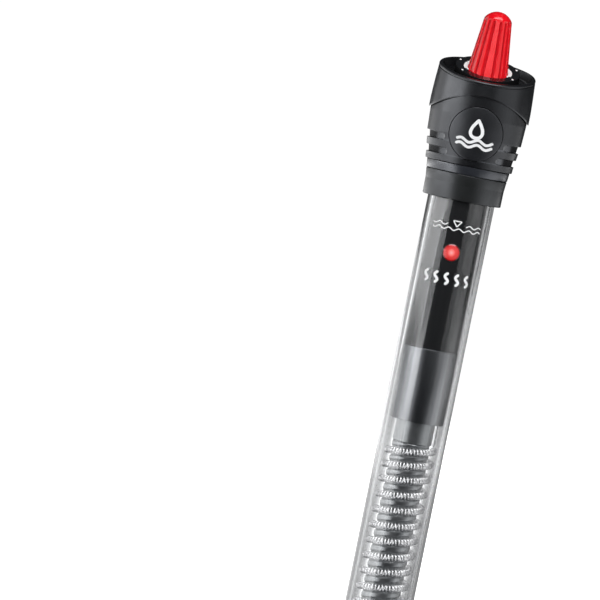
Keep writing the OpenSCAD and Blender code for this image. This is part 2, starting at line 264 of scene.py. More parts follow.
def solid(name, c0, c1, rough, metallic=0.0, spec=0.5, scale=350, grain=4500, depth=0.000012, strength=0.35, stretch=(1, 1, 1), ior=1.5, coat=0.0, coat_rough=0.1, grain_stretch=None):
    """Moulded or turned material: two tones mixed by a soft noise, a fine grain in the bump, and uneven gloss."""
    mt, nt, b, tc = new_mat(name)
    n1 = noise(nt, tc, scale, 4, 0.55, stretch)
    n2 = noise(nt, tc, grain, 2, 0.6, grain_stretch or stretch)
    nt.links.new(ramp(nt, n1, [(0.3, c0), (0.7, c1)]), b.inputs["Base Color"])
    nt.links.new(remap(nt, n1, rough[0], rough[1], 0.3, 0.7), b.inputs["Roughness"])
    b.inputs["Metallic"].default_value = metallic
    b.inputs["Specular IOR Level"].default_value = spec
    b.inputs["IOR"].default_value = ior
    b.inputs["Coat Weight"].default_value = coat
    b.inputs["Coat Roughness"].default_value = coat_rough
    bump(nt, b, n2, strength, depth)
    return mt


HEAD_A, HEAD_B = (0.0044, 0.0046, 0.0053), (0.0060, 0.0063, 0.0071)
M = {}
M["cover"] = solid("charcoal_plastic_upper", HEAD_A, HEAD_B, (0.29, 0.36), spec=0.58, scale=160, grain=5200, depth=0.00001, strength=0.3)
M["collar"] = solid("charcoal_plastic_collar", (0.008, 0.0085, 0.0095), (0.011, 0.0115, 0.0125), (0.11, 0.16), spec=0.55, scale=300, grain=4000, depth=0.000006, strength=0.2)
M["dish"] = solid("charcoal_plastic_dial", (0.009, 0.0095, 0.0105), (0.013, 0.0135, 0.0145), (0.28, 0.36), spec=0.5, scale=300, grain=4000, depth=0.00001, strength=0.3)
M["badge"] = solid("charcoal_plastic_badge", (0.0072, 0.0076, 0.0088), (0.0096, 0.0101, 0.0116), (0.36, 0.43), spec=0.55, scale=200, grain=5200, depth=0.00001, strength=0.3)
M["band"] = solid("clamp_plastic", (0.0140, 0.0155, 0.0195), (0.0180, 0.0200, 0.0250), (0.26, 0.32), spec=0.85, scale=120, grain=4600, depth=0.00001, strength=0.3)
M["skirt"] = solid("collar_plastic", (0.0092, 0.0100, 0.0100), (0.0120, 0.0130, 0.0128), (0.32, 0.39), spec=0.58, scale=140, grain=4200, depth=0.000014, strength=0.35)
M["gland"] = solid("gland_plastic", (0.010, 0.010, 0.011), (0.014, 0.014, 0.015), (0.42, 0.52), spec=0.5, scale=200, grain=4200)
M["rubber"] = solid("black_rubber", (0.008, 0.008, 0.009), (0.014, 0.014, 0.015), (0.6, 0.72), spec=0.35, scale=260, grain=3000, depth=0.00002)
M["white"] = solid("white_print", (0.91, 0.92, 0.93), (0.95, 0.96, 0.97), (0.45, 0.55), spec=0.4, scale=600, grain=6000, depth=0.000006)
M["scale"] = solid("white_dial_plastic", (0.91, 0.92, 0.92), (0.95, 0.96, 0.96), (0.35, 0.45), spec=0.5, scale=500, grain=6000, depth=0.000006)
M["brass"] = solid("brass", (0.62, 0.42, 0.16), (0.75, 0.53, 0.22), (0.22, 0.36), metallic=1.0, scale=420, grain=2600, depth=0.000008, stretch=(1, 1, 6))
M["steel"] = solid("steel", (0.50, 0.50, 0.52), (0.64, 0.64, 0.66), (0.24, 0.38), metallic=1.0, scale=420, grain=2600, depth=0.000008)
M["spring_brass"] = solid("spring_brass", (0.58, 0.44, 0.22), (0.70, 0.56, 0.30), (0.28, 0.40), metallic=1.0, scale=300, grain=2200, depth=0.000006, stretch=(1, 1, 0.2))
M["bimetal"] = solid("bimetal", (0.45, 0.36, 0.28), (0.62, 0.52, 0.42), (0.30, 0.44), metallic=1.0, scale=300, grain=2000, depth=0.000006, stretch=(1, 1, 0.15))
M["contact"] = solid("contact_silver", (0.72, 0.72, 0.72), (0.86, 0.85, 0.84), (0.15, 0.30), metallic=1.0, scale=800, grain=4000, depth=0.000006)
M["magnet"] = solid("magnet", (0.035, 0.035, 0.038), (0.06, 0.06, 0.063), (0.45, 0.6), spec=0.5, scale=900, grain=4200, depth=0.00002)
M["board"] = solid("insulating_board", (0.36, 0.24, 0.11), (0.48, 0.34, 0.17), (0.55, 0.7), spec=0.4, scale=700, grain=2600, depth=0.00002, stretch=(1, 1, 0.25))
M["ceramic"] = solid("ceramic_white", (0.66, 0.64, 0.59), (0.78, 0.76, 0.72), (0.45, 0.62), spec=0.5, scale=500, grain=3600, depth=0.00003)
M["dark_metal"] = solid("dark_metal", (0.10, 0.10, 0.105), (0.17, 0.17, 0.175), (0.35, 0.5), metallic=1.0, scale=350, grain=2500, depth=0.00001)
M["lamp_glass"] = solid("lamp_glass", (0.75, 0.42, 0.36), (0.86, 0.52, 0.44), (0.08, 0.16), spec=0.5, scale=400, grain=2600, depth=0.000004)
M["wire_brown"] = solid("wire_insulation", (0.16, 0.055, 0.022), (0.22, 0.08, 0.035), (0.35, 0.48), spec=0.5, scale=300, grain=2600, depth=0.00001, stretch=(1, 1, 0.2))
M["shield"] = solid("shield_metal", (0.114, 0.118, 0.125), (0.150, 0.155, 0.163), (0.30, 0.38), metallic=1.0, spec=0.5, scale=260, grain=2400, depth=0.000008, stretch=(1, 1, 0.12), grain_stretch=(1, 1, 0.05))
M["neck"] = solid("ceramic_grey_neck", (0.155, 0.163, 0.168), (0.205, 0.213, 0.218), (0.30, 0.38), metallic=0.8, spec=0.6, scale=320, grain=3600, depth=0.00002)
M["former"] = solid("ceramic_grey_former", (0.150, 0.158, 0.164), (0.215, 0.222, 0.228), (0.28, 0.38), metallic=0.85, spec=0.6, scale=340, grain=3000, depth=0.00003)
M["wire"] = solid("resistance_wire", (0.88, 0.88, 0.89), (0.97, 0.97, 0.98), (0.20, 0.30), metallic=0.72, scale=900, grain=5000, depth=0.000006)
M["fibre"] = solid("fibre_white", (0.70, 0.69, 0.66), (0.86, 0.85, 0.83), (0.8, 0.95), spec=0.2, scale=500, grain=1500, depth=0.0002, strength=0.7, stretch=(1, 1, 3))


def blend(nt, b, name, value, mask):
    """Fade one input of a shader to a value where the mask is 1."""
    old = b.inputs[name].links[0].from_socket if b.inputs[name].is_linked else None
    mx = nt.nodes.new("ShaderNodeMix")
    mx.data_type = "RGBA" if name == "Base Color" else "FLOAT"
    k = 6 if name == "Base Color" else 2
    nt.links.new(mask, mx.inputs[0])
    if old is None:
        mx.inputs[k].default_value = b.inputs[name].default_value
    else:
        nt.links.new(old, mx.inputs[k])
    mx.inputs[k + 1].default_value = value
    nt.links.new(mx.outputs[2 if name == "Base Color" else 0], b.inputs[name])


def radius_of(nt, tc):
    """Distance from the tube's axis."""
    sep = nt.nodes.new("ShaderNodeSeparateXYZ")
    nt.links.new(tc.outputs["Object"], sep.inputs[0])
    r2 = math_node(nt, "ADD", math_node(nt, "MULTIPLY", sep.outputs[0], sep.outputs[0]), math_node(nt, "MULTIPLY", sep.outputs[1], sep.outputs[1]))
    return math_node(nt, "SQRT", r2)


def dull_and_shade_wall(mt):
    """Collar: only its slanted face is polished, the wall round it is left matte and its colour is darkened to near
    black as painted shade.
    """
    nt = mt.node_tree
    b = [n for n in nt.nodes if n.type == "BSDF_PRINCIPLED"][0]
    tc = [n for n in nt.nodes if n.type == "TEX_COORD"][0]
    mask = remap(nt, radius_of(nt, tc), 0.0, 1.0, 0.01148, 0.01157)
    # painted shade: the outer wall's colour goes near black
    blend(nt, b, "Base Color", (0.004, 0.004, 0.0045, 1), mask)
    blend(nt, b, "Roughness", 0.6, mask)
    blend(nt, b, "Specular IOR Level", 0.05, mask)


dull_and_shade_wall(M["collar"])
for key in ("cover", "badge", "skirt", "band", "collar"):
    [n for n in M[key].node_tree.nodes if n.type == "BSDF_PRINCIPLED"][0].inputs["Specular Tint"].default_value = (0.91, 0.94, 1.0, 1)


def body_mat():
    """Lower shell: the same plastic as the upper one, left rough on the floors of the side slots, which are darkened as
    painted shade, and lightened on their scooped ends as a painted highlight."""
    mt = solid("charcoal_plastic_lower", HEAD_A, HEAD_B, (0.30, 0.37), spec=0.58, scale=150, grain=5000, depth=0.00001, strength=0.3)
    nt = mt.node_tree
    b = [n for n in nt.nodes if n.type == "BSDF_PRINCIPLED"][0]
    tc = [n for n in nt.nodes if n.type == "TEX_COORD"][0]
    sep = nt.nodes.new("ShaderNodeSeparateXYZ")
    nt.links.new(tc.outputs["Object"], sep.inputs[0])
    flat = nt.nodes.new("ShaderNodeCombineXYZ")
    nt.links.new(sep.outputs[0], flat.inputs[0])
    nt.links.new(sep.outputs[1], flat.inputs[1])
    ln = nt.nodes.new("ShaderNodeVectorMath")
    ln.operation = "LENGTH"
    nt.links.new(flat.outputs[0], ln.inputs[0])
    mask = None
    scoop_highlight = None
    for z0, z1, r0, r1, r2, x0, x1 in ((19.85, 22.55, 15.85, 16.10, 16.60, 13.6, 12.2), (14.9, 17.5, 15.2, 15.42, 15.85, 11.8, 10.4)):
        m = remap(nt, ln.outputs["Value"], 1.0, 0.0, r0 / 1000, r1 / 1000)
        low = math_node(nt, "LESS_THAN", ln.outputs["Value"], r2 / 1000)
        near = remap(nt, math_node(nt, "ABSOLUTE", sep.outputs[0]), 0.0, 1.0, x0 / 1000, x1 / 1000)
        band = math_node(nt, "MULTIPLY", math_node(nt, "GREATER_THAN", sep.outputs[2], (ZH + z0) / 1000), math_node(nt, "LESS_THAN", sep.outputs[2], (ZH + z1) / 1000))
        light = math_node(nt, "MULTIPLY", math_node(nt, "MULTIPLY", near, low), band)
        m = math_node(nt, "MULTIPLY", math_node(nt, "MULTIPLY", m, band), math_node(nt, "SUBTRACT", 1.0, near))
        mask = m if mask is None else math_node(nt, "ADD", mask, m)
        scoop_highlight = light if scoop_highlight is None else math_node(nt, "ADD", scoop_highlight, light)

    # painted shade: the slot floors are darkened
    blend(nt, b, "Base Color", (0.005, 0.005, 0.0055, 1), mask)
    blend(nt, b, "Roughness", 0.62, mask)
    blend(nt, b, "Specular IOR Level", 0.16, mask)
    # painted highlight: the scooped ends of the slots are lightened
    blend(nt, b, "Base Color", (0.060, 0.063, 0.070, 1), scoop_highlight)
    blend(nt, b, "Roughness", 0.24, scoop_highlight)
    b.inputs["Specular Tint"].default_value = (0.91, 0.94, 1.0, 1)
    return mt


def sleeve_mat():
    """Black moulded sleeve with faint draw lines along it."""
    mt, nt, b, tc = new_mat("sleeve_plastic")
    n1 = noise(nt, tc, 220, 4, 0.55, (1, 1, 0.06))
    n2 = noise(nt, tc, 3800, 2, 0.6)
    nt.links.new(ramp(nt, n1, [(0.3, (0.0080, 0.0082, 0.0088)), (0.7, (0.0125, 0.0127, 0.0134))]), b.inputs["Base Color"])
    nt.links.new(remap(nt, n1, 0.34, 0.42, 0.3, 0.7), b.inputs["Roughness"])
    b.inputs["Specular IOR Level"].default_value = 0.10
    bump(nt, b, n2, 0.15, 0.000005)
    return mt


def knob_mat():
    """Red moulded plastic with deeper colour in patches, glossy on the ribs, duller down in the grooves, where its
    colour is darkened as painted shade.
    """
    mt, nt, b, tc = new_mat("red_plastic")
    n1 = noise(nt, tc, 260, 3, 0.5)
    n2 = noise(nt, tc, 3600, 2, 0.6)
    sep = nt.nodes.new("ShaderNodeSeparateXYZ")
    nt.links.new(tc.outputs["Object"], sep.inputs[0])
    r2 = math_node(nt, "ADD", math_node(nt, "MULTIPLY", sep.outputs[0], sep.outputs[0]), math_node(nt, "MULTIPLY", sep.outputs[1], sep.outputs[1]))
    # painted shade: the deeper a point lies in a groove below the knob's cone, the darker its red
    cone = remap(nt, sep.outputs[2], 0.0076, 0.0050, (ZH + 43.2) / 1000, (ZH + 65.0) / 1000)
    depth = math_node(nt, "SUBTRACT", cone, math_node(nt, "SQRT", r2))
    mask = math_node(nt, "MULTIPLY", remap(nt, depth, 0.0, 1.0, 0.00022, 0.00042), math_node(nt, "LESS_THAN", sep.outputs[2], (ZH + 65.0) / 1000))
    groove_shade_tone = nt.nodes.new("ShaderNodeMix")
    groove_shade_tone.data_type = "RGBA"
    nt.links.new(mask, groove_shade_tone.inputs[0])
    nt.links.new(ramp(nt, n1, [(0.3, (0.82, 0.003, 0.010)), (0.7, (0.90, 0.007, 0.016))]), groove_shade_tone.inputs[6])
    nt.links.new(ramp(nt, n1, [(0.3, (0.45, 0.001, 0.005)), (0.7, (0.53, 0.002, 0.008))]), groove_shade_tone.inputs[7])
    nt.links.new(groove_shade_tone.outputs[2], b.inputs["Base Color"])
    nt.links.new(math_node(nt, "ADD", remap(nt, n1, 0.15, 0.20, 0.3, 0.7), math_node(nt, "MULTIPLY", mask, 0.22)), b.inputs["Roughness"])
    nt.links.new(remap(nt, mask, 0.44, 0.14), b.inputs["Specular IOR Level"])
    b.inputs["Subsurface Weight"].default_value = 0.0
    bump(nt, b, n2, 0.1, 0.000005)
    return mt


# clearness of the two skins of the glass, against how far they turn away from the eye; its dip towards the edges is
# painted shade in place of the dim surroundings that the bent and reflected view would show
GLASS_OUT = [(0.0, 0.99), (0.33, 0.97), (0.45, 0.90), (0.52, 0.78), (0.60, 0.40), (0.70, 0.36), (0.87, 0.45), (1.0, 0.9)]
GLASS_IN = [(0.0, 0.99), (0.23, 0.94), (0.27, 0.68), (0.34, 0.52), (0.46, 0.44), (0.54, 0.42), (0.645, 0.54), (0.80, 0.74), (1.0, 0.6)]


def glass_mat():
    """Clear tube glass: seen straight on it is clear; towards its edges what stands behind it is darkened as painted
    shade, in place of the dim surroundings the wall would bend and reflect into view. Faint drawing streaks run along
    its length. The outer and the inner skin of the wall fade differently."""
    mt, nt, b, tc = new_mat("tube_glass")
    n1 = noise(nt, tc, 90, 2, 0.4, (1, 1, 0.05))
    nt.links.new(ramp(nt, n1, [(0.3, (0.95, 0.965, 0.98)), (0.7, (0.985, 0.99, 1.0))]), b.inputs["Base Color"])
    b.inputs["Metallic"].default_value = 1.0
    nt.links.new(remap(nt, n1, 0.10, 0.13, 0.3, 0.7), b.inputs["Roughness"])
    bump(nt, b, n1, 0.05, 0.00002)
    lw = nt.nodes.new("ShaderNodeLayerWeight")
    lw.inputs["Blend"].default_value = 0.5
    # painted shade: the skins' clearness dips towards the edges
    outer = ramp(nt, lw.outputs["Facing"], [(c, (v, v * 1.003, v * 1.006)) for c, v in GLASS_OUT])
    inner = ramp(nt, lw.outputs["Facing"], [(c, (v, v * 1.003, v * 1.006)) for c, v in GLASS_IN])
    sep = nt.nodes.new("ShaderNodeSeparateXYZ")
    nt.links.new(tc.outputs["Object"], sep.inputs[0])
    flat = nt.nodes.new("ShaderNodeCombineXYZ")
    nt.links.new(sep.outputs[0], flat.inputs[0])
    nt.links.new(sep.outputs[1], flat.inputs[1])
    # below the straight part the wall is a ball about the centre of the round end
    low = math_node(nt, "MINIMUM", math_node(nt, "ADD", sep.outputs[2], -(ZH - 220) / 1000), 0.0)
    nt.links.new(low, flat.inputs[2])
    ln = nt.nodes.new("ShaderNodeVectorMath")
    ln.operation = "LENGTH"
    nt.links.new(flat.outputs[0], ln.inputs[0])
    mix = nt.nodes.new("ShaderNodeMix")
    mix.data_type = "RGBA"
    nt.links.new(math_node(nt, "GREATER_THAN", ln.outputs["Value"], 0.0112), mix.inputs[0])
    nt.links.new(inner, mix.inputs[6])
    nt.links.new(outer, mix.inputs[7])
    clear = nt.nodes.new("ShaderNodeBsdfTransparent")
    nt.links.new(mix.outputs[2], clear.inputs["Color"])
    fr = math_node(nt, "ADD", math_node(nt, "MULTIPLY", math_node(nt, "POWER", lw.outputs["Facing"], 5.0), 0.96), 0.038)
    both = nt.nodes.new("ShaderNodeMixShader")
    nt.links.new(fr, both.inputs[0])
    nt.links.new(clear.outputs[0], both.inputs[1])
    nt.links.new(b.outputs[0], both.inputs[2])
    out = [n for n in nt.nodes if n.type == "OUTPUT_MATERIAL"][0]
    nt.links.new(both.outputs[0], out.inputs[0])
    return mt


def lens_mat():
    """Lit red lens: brightest at its middle, where the lamp stands behind it; the glow is emitted by the lens itself,
    and its outer edge is painted near black as the shadow of the hole's edge.
    """
    mt, nt, b, tc = new_mat("lens_red")
    sep = nt.nodes.new("ShaderNodeSeparateXYZ")
    nt.links.new(tc.outputs["Object"], sep.inputs[0])
    dx = math_node(nt, "MULTIPLY", math_node(nt, "ADD", sep.outputs[0], 0.0), 1000.0)
    dz = math_node(nt, "MULTIPLY", math_node(nt, "ADD", sep.outputs[2], -(ZH - 18.6) / 1000), 1000.0)
    d = math_node(nt, "SQRT", math_node(nt, "ADD", math_node(nt, "POWER", math_node(nt, "ABSOLUTE", dx), 2.0), math_node(nt, "POWER", math_node(nt, "ABSOLUTE", dz), 2.0)))
    fac = remap(nt, d, 0.0, 1.0, 0.0, 3.15)
    # painted shadow: towards its outer edge the lens goes near black
    nt.links.new(ramp(nt, fac, [(0.0, (0.75, 0.09, 0.08)), (0.82, (0.50, 0.008, 0.010)), (0.93, (0.10, 0.003, 0.004)), (1.0, (0.02, 0.002, 0.002))]), b.inputs["Base Color"])
    nt.links.new(ramp(nt, fac, [(0.0, (1.0, 0.66, 0.64)), (0.20, (0.95, 0.36, 0.34)), (0.45, (0.62, 0.06, 0.055)), (0.82, (0.42, 0.02, 0.02)), (0.93, (0.05, 0.002, 0.002)), (1.0, (0.0, 0.0, 0.0))]), b.inputs["Emission Color"])
    b.inputs["Emission Strength"].default_value = 0.6
    b.inputs["Roughness"].default_value = 0.22
    bump(nt, b, noise(nt, tc, 1800, 2, 0.5), 0.1, 0.00001)
    return mt


def resistor_mat():
    """Beige body with colour bands across it."""
    mt, nt, b, tc = new_mat("resistor_body")
    sep = nt.nodes.new("ShaderNodeSeparateXYZ")
    nt.links.new(tc.outputs["Object"], sep.inputs[0])
    fac = remap(nt, sep.outputs[2], 0.0, 1.0, (ZH - 33) / 1000, (ZH - 26) / 1000)
    body, n1 = (0.55, 0.42, 0.26), noise(nt, tc, 900, 2, 0.5)
    r = nt.nodes.new("ShaderNodeValToRGB")
    r.color_ramp.interpolation = "CONSTANT"
    el = r.color_ramp.elements
    stops = [(0, body), (0.18, (0.35, 0.02, 0.02)), (0.28, body), (0.38, (0.35, 0.02, 0.02)), (0.48, body), (0.58, (0.5, 0.4, 0.02)), (0.68, body), (0.84, (0.55, 0.4, 0.1)), (0.92, body)]
    while len(el) < len(stops):
        el.new(0.5)
    for e, (p, c) in zip(el, stops):
        e.position, e.color = p, (*c, 1)
    nt.links.new(fac, r.inputs[0])
    nt.links.new(r.outputs[0], b.inputs["Base Color"])
    nt.links.new(remap(nt, n1, 0.3, 0.42), b.inputs["Roughness"])
    bump(nt, b, n1, 0.2, 0.00001)
    return mt


def leads_mat():
    """Insulation of the two inner leads: brown on the left one, blue on the right one."""
    mt, nt, b, tc = new_mat("lead_insulation")
    sep = nt.nodes.new("ShaderNodeSeparateXYZ")
    nt.links.new(tc.outputs["Object"], sep.inputs[0])
    side = math_node(nt, "GREATER_THAN", sep.outputs[0], 0.0)
    n1 = noise(nt, tc, 500, 3, 0.5, (1, 1, 0.2))
    mix = nt.nodes.new("ShaderNodeMix")
    mix.data_type = "RGBA"
    nt.links.new(side, mix.inputs[0])
    nt.links.new(ramp(nt, n1, [(0.3, (0.16, 0.055, 0.022)), (0.7, (0.22, 0.08, 0.035))]), mix.inputs[6])
    nt.links.new(ramp(nt, n1, [(0.3, (0.03, 0.10, 0.34)), (0.7, (0.05, 0.15, 0.44))]), mix.inputs[7])
    nt.links.new(mix.outputs[2], b.inputs["Base Color"])
    nt.links.new(remap(nt, n1, 0.34, 0.46), b.inputs["Roughness"])
    bump(nt, b, n1, 0.2, 0.00001)
    return mt


M["body"] = body_mat()
M["sleeve"] = sleeve_mat()
M["knob"] = knob_mat()
M["glass"] = glass_mat()
M["lens"] = lens_mat()
M["resistor"] = resistor_mat()
M["leads"] = leads_mat()


# ------------------------------------------------------------------ shapes of the head
tan_dish, tan_dial = math.tan(math.radians(13)), math.tan(math.radians(18.5))
BODY_Z = [12.6, 14.2, 17.75, 19.2, 22.7, 25.6, 29.9, 37.6]
BODY_R = [15.6, 15.72, 16.2, 16.4, 16.94, 17.08, 17.3, 17.35]


def rim_z(y):
    return -343.769 + np.sqrt(400.0**2 - (y - 85.894) ** 2)


def dish_z(y):
    return 43.2 + y * tan_dish


def dial_z(y):
    return 47.4 + y * tan_dial


def body_r(z):
    return np.interp(z, BODY_Z, BODY_R)


def cover_r(z):
    return np.interp(z, [28, 34, 37.3, 41, 44.5, 46.5, 52], [17.98, 17.98, 17.87, 17.68, 17.45, 17.35, 17.25])


def knob():
    """Fluted, tapered knob: sixteen grooves, a broad flat rib in front, a domed top, hollow below."""
    z0, z1, rf, rt, cap = 43.2, 65.0, 7.6, 5.0, 5.7
    slope = (rf - rt) / (z1 - z0)
    zc = z1 - math.sqrt(cap * cap - rt * rt)
    th = np.arange(960) * TAU / 960
    centres = np.radians([-75 + 22 * i for i in range(16)])
    gap = (th[:, None] - centres[None, :] + math.pi) % TAU - math.pi
    near = np.abs(gap).min(1)
    front = (th + math.pi / 2 + math.pi) % TAU - math.pi
    prof = [(rf - 0.32, z0), (rf - 0.12, z0 + 0.07), (rf - slope * 0.3, z0 + 0.3)]
    prof += [(rf - slope * (z - z0), z) for z in np.linspace(z0 + 0.9, z1 - 1.6, 34)]
    prof += [(rf - slope * (z - z0), z) for z in np.linspace(z1 - 1.35, z1 - 0.35, 6)]
    # shoulder, then the dome
    prof += [(rt - 0.045, z1 + 0.06)]
    for a in np.linspace(math.radians(35), math.radians(86), 14):
        prof.append((cap * math.cos(a), zc + cap * math.sin(a)))
    rows = []
    for r, z in prof:
        d = np.maximum(np.sqrt(np.maximum(0.65**2 - (near * r) ** 2, 0)) - 0.13, 0)
        d = d * (1 - smooth((z - (z1 - 0.95)) / 1.0))
        rr = np.full_like(th, r) - d
        # the front rib is planed flat
        flat = math.radians(13.5)
        chord = r * math.cos(flat) / np.cos(np.clip(front, -flat, flat))
        take = (1 - smooth((z - (z1 - 0.2)) / 2.0))
        rr = np.where(np.abs(front) < flat, rr - (r - chord) * take * 0.9, rr)
        rows.append(np.stack([rr * np.cos(th), rr * np.sin(th), np.full_like(th, z)], -1))
    rows = rows[::-1]
    hollow = [(5.6, z0), (5.45, z0 + 0.3), (3.95, z0 + 17.4), (3.4, z0 + 17.6), (3.4, z0 + 0.2), (3.2, z0 + 0.05), (2.2, z0 + 0.05), (2.04, z0 + 0.2), (2.04, z0 + 14.0)]
    for r, z in hollow:
        rows.append(np.stack([r * np.cos(th), r * np.sin(th), np.full_like(th, z)], -1))
    return surface("temperature_knob", rows, M["knob"], wrap_u=False, pole_a=(0, 0, zc + cap), pole_b=(0, 0, z0 + 14.0), sharp=38)


def cover():
    """Upper shell: arched lower edge, shadow groove under the lip, slanted rim and the dish."""
    seg = 384
    th = np.arange(seg) * TAU / seg
    c, s = np.cos(th), np.sin(th)
    one = np.ones(seg)
    rows = []

    def put(r, z):
        rows.append(np.stack([r * c, r * s, z * one], -1))

    def arch(r):
        return 10.8 + np.sqrt(26.6**2 - (r * c) ** 2)

    zb = arch(17.95)
    rb = cover_r(zb)
    zt = rim_z(17.3 * s)
    put(17.47 * one, arch(17.47))
    put(rb - 0.22, arch(17.75))
    put(rb - 0.06, zb + 0.07)
    put(rb, zb + 0.24)
    for k in np.linspace(0.06, 1, 14):
        z = (zb + 0.24) * (1 - k) + (zt - 1.32) * k
        put(cover_r(z), z)
    rt = cover_r(zt - 1.2)
    put(rt - 0.05, zt - 1.25)
    put(rt - 0.34, zt - 1.16)
    put(rt - 0.36, zt - 0.92)
    put(rt - 0.06, zt - 0.80)
    f = 0.6
    for a in np.linspace(0, math.pi / 2, 9):
        r = rt - f * (1 - math.cos(a))
        put(r, rim_z(r * s) - f * (1 - math.sin(a)))
    put(16.62 * one, rim_z(16.62 * s))
    f = 0.28
    for a in np.linspace(math.pi / 2, 0, 5):
        r = (16.1 + f * (1 - math.cos(a))) * one
        put(r, rim_z(r * s) - f * (1 - math.sin(a)))
    f = 0.6
    for a in np.linspace(0, math.pi / 2, 6):
        r = (16.1 - f * (1 - math.cos(a))) * one
        put(r, dish_z(r * s) + f * (1 - math.sin(a)))
    for r in np.linspace(14.6, 8.12, 8):
        put(r * one, dish_z(r * s))
    put(8.1 * one, np.minimum(dish_z(8.1 * s), 42.6))
    for r in (6.5, 5.0, 3.7):
        put(r * one, np.minimum(dish_z(r * s), 42.6))
    put(3.54 * one, np.minimum(dish_z(3.54 * s), 42.6) - 0.15)
    put(3.54 * one, 38.0 * one)
    put(9.6 * one, 38.0 * one)
    put(9.6 * one, np.maximum(dish_z(9.6 * s) - 1.7, 38.3))
    put(15.9 * one, np.maximum(dish_z(15.9 * s) - 1.7, 38.1))
    put(15.9 * one, 37.95 * one)
    put(17.47 * one, 37.95 * one)
    return surface("head_cover_shell", rows, M["cover"], wrap_u=True, sharp=34)


def dial_collar():
    """Raised collar round the knob with a slanted face; its recess holds the white scale."""
    th = np.unique(np.concatenate([np.arange(0, 360, 1.25), [270 - 66, 270 - 65.6, 270 + 65.6, 270 + 66]])) % 360
    t = np.radians(th)
    c, s = np.cos(t), np.sin(t)
    one = np.ones(len(t))
    front = np.abs((th - 270 + 180) % 360 - 180)
    recess = np.where(front < 65.8, 0.0, 1.1)
    rows = []

    def put(r, z):
        rows.append(np.stack([r * c, r * s, z * one], -1))

    put(8.3 * one, dish_z(8.3 * s) + 0.02)
    put(11.6 * one, dish_z(11.6 * s) + 0.02)
    f = 0.07
    for a in np.linspace(0, math.pi / 2, 4):
        r = 11.6 - f * (1 - math.cos(a))
        put(r * one, dial_z(r * s) - f * (1 - math.sin(a)))
    put(10.2 * one, dial_z(10.2 * s))
    put(8.93 * one, dial_z(8.93 * s))
    put(8.77 * one, dial_z(8.77 * s) - np.minimum(recess, 0.12))
    put(8.75 * one, dial_z(8.75 * s) - recess)
    put(8.45 * one, dial_z(8.45 * s) - recess)
    put(8.3 * one, dial_z(8.3 * s) - recess - 0.15)
    return surface("dial_collar", rows, M["collar"], wrap_u=True, sharp=34)


